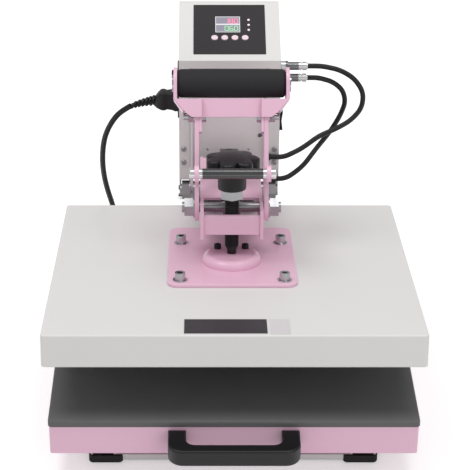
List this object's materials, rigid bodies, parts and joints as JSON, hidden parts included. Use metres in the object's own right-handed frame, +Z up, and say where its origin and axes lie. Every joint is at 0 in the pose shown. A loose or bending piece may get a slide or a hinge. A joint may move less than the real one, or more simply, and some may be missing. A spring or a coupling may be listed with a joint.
{
  "type": "slide-out heat press",
  "caption": "Clamshell heat press with a sliding lower tray, a raised square hot head, toggle lever, pressure knob and a tall control casing",
  "frame": {"origin": "on the table under the middle of the press's length and width, the free cord left out", "axes": "+X to the right seen from the front, +Y from the tray handle back to the control casing, +Z up"},
  "size_m": [0.4, 0.6872, 0.3331],
  "materials": {
    "white_paint": "satin powder coat",
    "pink_paint": "satin powder coat",
    "zinc_steel": "bright zinc plate",
    "chrome": "polished",
    "black_steel": "black oxide",
    "cast_aluminium": "machined face",
    "glass_wool": "fibrous",
    "grey_silicone": "fine open grain",
    "black_foam": "matte foam",
    "black_rubber": "matte",
    "black_plastic": "moulded",
    "black_cable": "semi-gloss jacket",
    "black_label": "printed film",
    "dark_glass": "tinted",
    "lamp_plastic": "translucent",
    "green_board": "lacquered",
    "grey_button": "soft"
  },
  "bodies": {
    "base": {"side_rails": "white_paint", "front_rail": "white_paint", "rear_plate": "white_paint", "rubber_feet": "black_rubber", "slide_outer": "zinc_steel", "tower": "white_paint", "casing_front": "white_paint", "casing_back": "white_paint", "casing_screws": "zinc_steel", "control_label": "black_label", "display_window": "dark_glass", "indicator_lamps": "lamp_plastic", "control_board": "green_board", "inlet_socket": "black_plastic", "rocker_frame": "black_plastic", "cable_sockets": "zinc_steel", "cable_plugs": "zinc_steel", "heater_cable": "black_cable", "sensor_cable": "black_cable", "cable_grommets": "black_plastic", "pivot_bolts": "zinc_steel", "power_cord": "black_cable", "cord_connector": "black_plastic", "cord_coil": "black_cable", "mains_plug": "black_plastic"},
    "tray_carriage": {"tray": "pink_paint", "silicone_pad": "grey_silicone", "tray_handle": "black_plastic", "slide_inner": "zinc_steel"},
    "slide_stage": {"slide_middle": "zinc_steel"},
    "arm": {"arm_side_plates": "pink_paint", "arm_top_plate": "pink_paint", "front_beam": "pink_paint", "arm_bushes": "zinc_steel"},
    "lever": {"lever_plates": "pink_paint", "stop_bar": "chrome", "lever_shaft": "zinc_steel", "handle_head": "pink_paint", "head_bolts": "chrome", "grip_rod": "chrome", "foam_grip": "black_foam"},
    "link": {"toggle_link": "zinc_steel"},
    "hot_head": {"head_cover": "white_paint", "insulation": "glass_wool", "heating_plate": "cast_aluminium", "heating_element": "zinc_steel", "mount_plate": "pink_paint", "mount_bolts": "chrome", "pressure_boss": "pink_paint", "boss_screws": "black_steel", "name_plates": "black_label"},
    "screw": {"pressure_screw": "black_steel", "lock_nut": "zinc_steel", "star_knob": "black_plastic"},
    "rocker": {"rocker_switch": "black_plastic"},
    "fuse": {"fuse_cap": "black_plastic"},
    "push_1": {"button_1": "grey_button"},
    "push_2": {"button_2": "grey_button"},
    "push_3": {"button_3": "grey_button"},
    "push_4": {"button_4": "grey_button"}
  },
  "joints": [
    {"name": "tray_slide", "type": "slide", "parent": "base", "child": "tray_carriage", "axis": [0, -1, 0], "range_m": [-0.017, 0.24]},
    {"name": "slide_stage_run", "type": "slide", "parent": "base", "child": "slide_stage", "axis": [0, -1, 0], "range_m": [-0.0086, 0.1205]},
    {"name": "arm_pivot", "type": "hinge", "parent": "base", "child": "arm", "pos_m": [0, 0.17895, 0.1244], "axis": [1, 0, 0], "range_deg": [0, 8.4]},
    {"name": "lever_pivot", "type": "hinge", "parent": "arm", "child": "lever", "pos_m": [0, 0.00514, 0.19252], "axis": [1, 0, 0], "range_deg": [-0.1, 68.1]},
    {"name": "link_pivot", "type": "hinge", "parent": "base", "child": "link", "pos_m": [0, 0.22395, 0.205], "axis": [1, 0, 0], "range_deg": [-0.01, 1.93]},
    {"name": "head_height", "type": "slide", "parent": "arm", "child": "hot_head", "axis": [0, 0.1461, 0.9893], "range_m": [0, 0.004]},
    {"name": "screw_turn", "type": "hinge", "parent": "hot_head", "child": "screw", "pos_m": [0, -0.03019, 0.1381], "axis": [0, 0.1461, 0.9893], "range_deg": [-1, 721]},
    {"name": "rocker_rock", "type": "hinge", "parent": "base", "child": "rocker", "pos_m": [0.06, 0.22395, 0.1996], "axis": [0, 1, 0], "range_deg": [-9, 9]},
    {"name": "fuse_turn", "type": "hinge", "parent": "base", "child": "fuse", "pos_m": [-0.066, 0.22895, 0.257], "axis": [1, 0, 0], "range_deg": [0, 90]},
    {"name": "push_1_press", "type": "slide", "parent": "base", "child": "push_1", "axis": [0, 0.342, -0.9397], "range_m": [0, 0.0008], "stiffness_N_per_m": 400, "springref_m": -0.0006},
    {"name": "push_2_press", "type": "slide", "parent": "base", "child": "push_2", "axis": [0, 0.342, -0.9397], "range_m": [0, 0.0008], "stiffness_N_per_m": 400, "springref_m": -0.0006},
    {"name": "push_3_press", "type": "slide", "parent": "base", "child": "push_3", "axis": [0, 0.342, -0.9397], "range_m": [0, 0.0008], "stiffness_N_per_m": 400, "springref_m": -0.0006},
    {"name": "push_4_press", "type": "slide", "parent": "base", "child": "push_4", "axis": [0, 0.342, -0.9397], "range_m": [0, 0.0008], "stiffness_N_per_m": 400, "springref_m": -0.0006}
  ],
  "couplings": [
    {"joint": "slide_stage_run", "follows": "tray_slide", "ratio": 0.5},
    {"joint": "lever_pivot", "follows": "arm_pivot", "ratio": 8.0952},
    {"joint": "link_pivot", "follows": "arm_pivot", "ratio": 0.22715},
    {"joint": "screw_turn", "follows": "head_height", "rad_per_m": 3141.6}
  ]
}
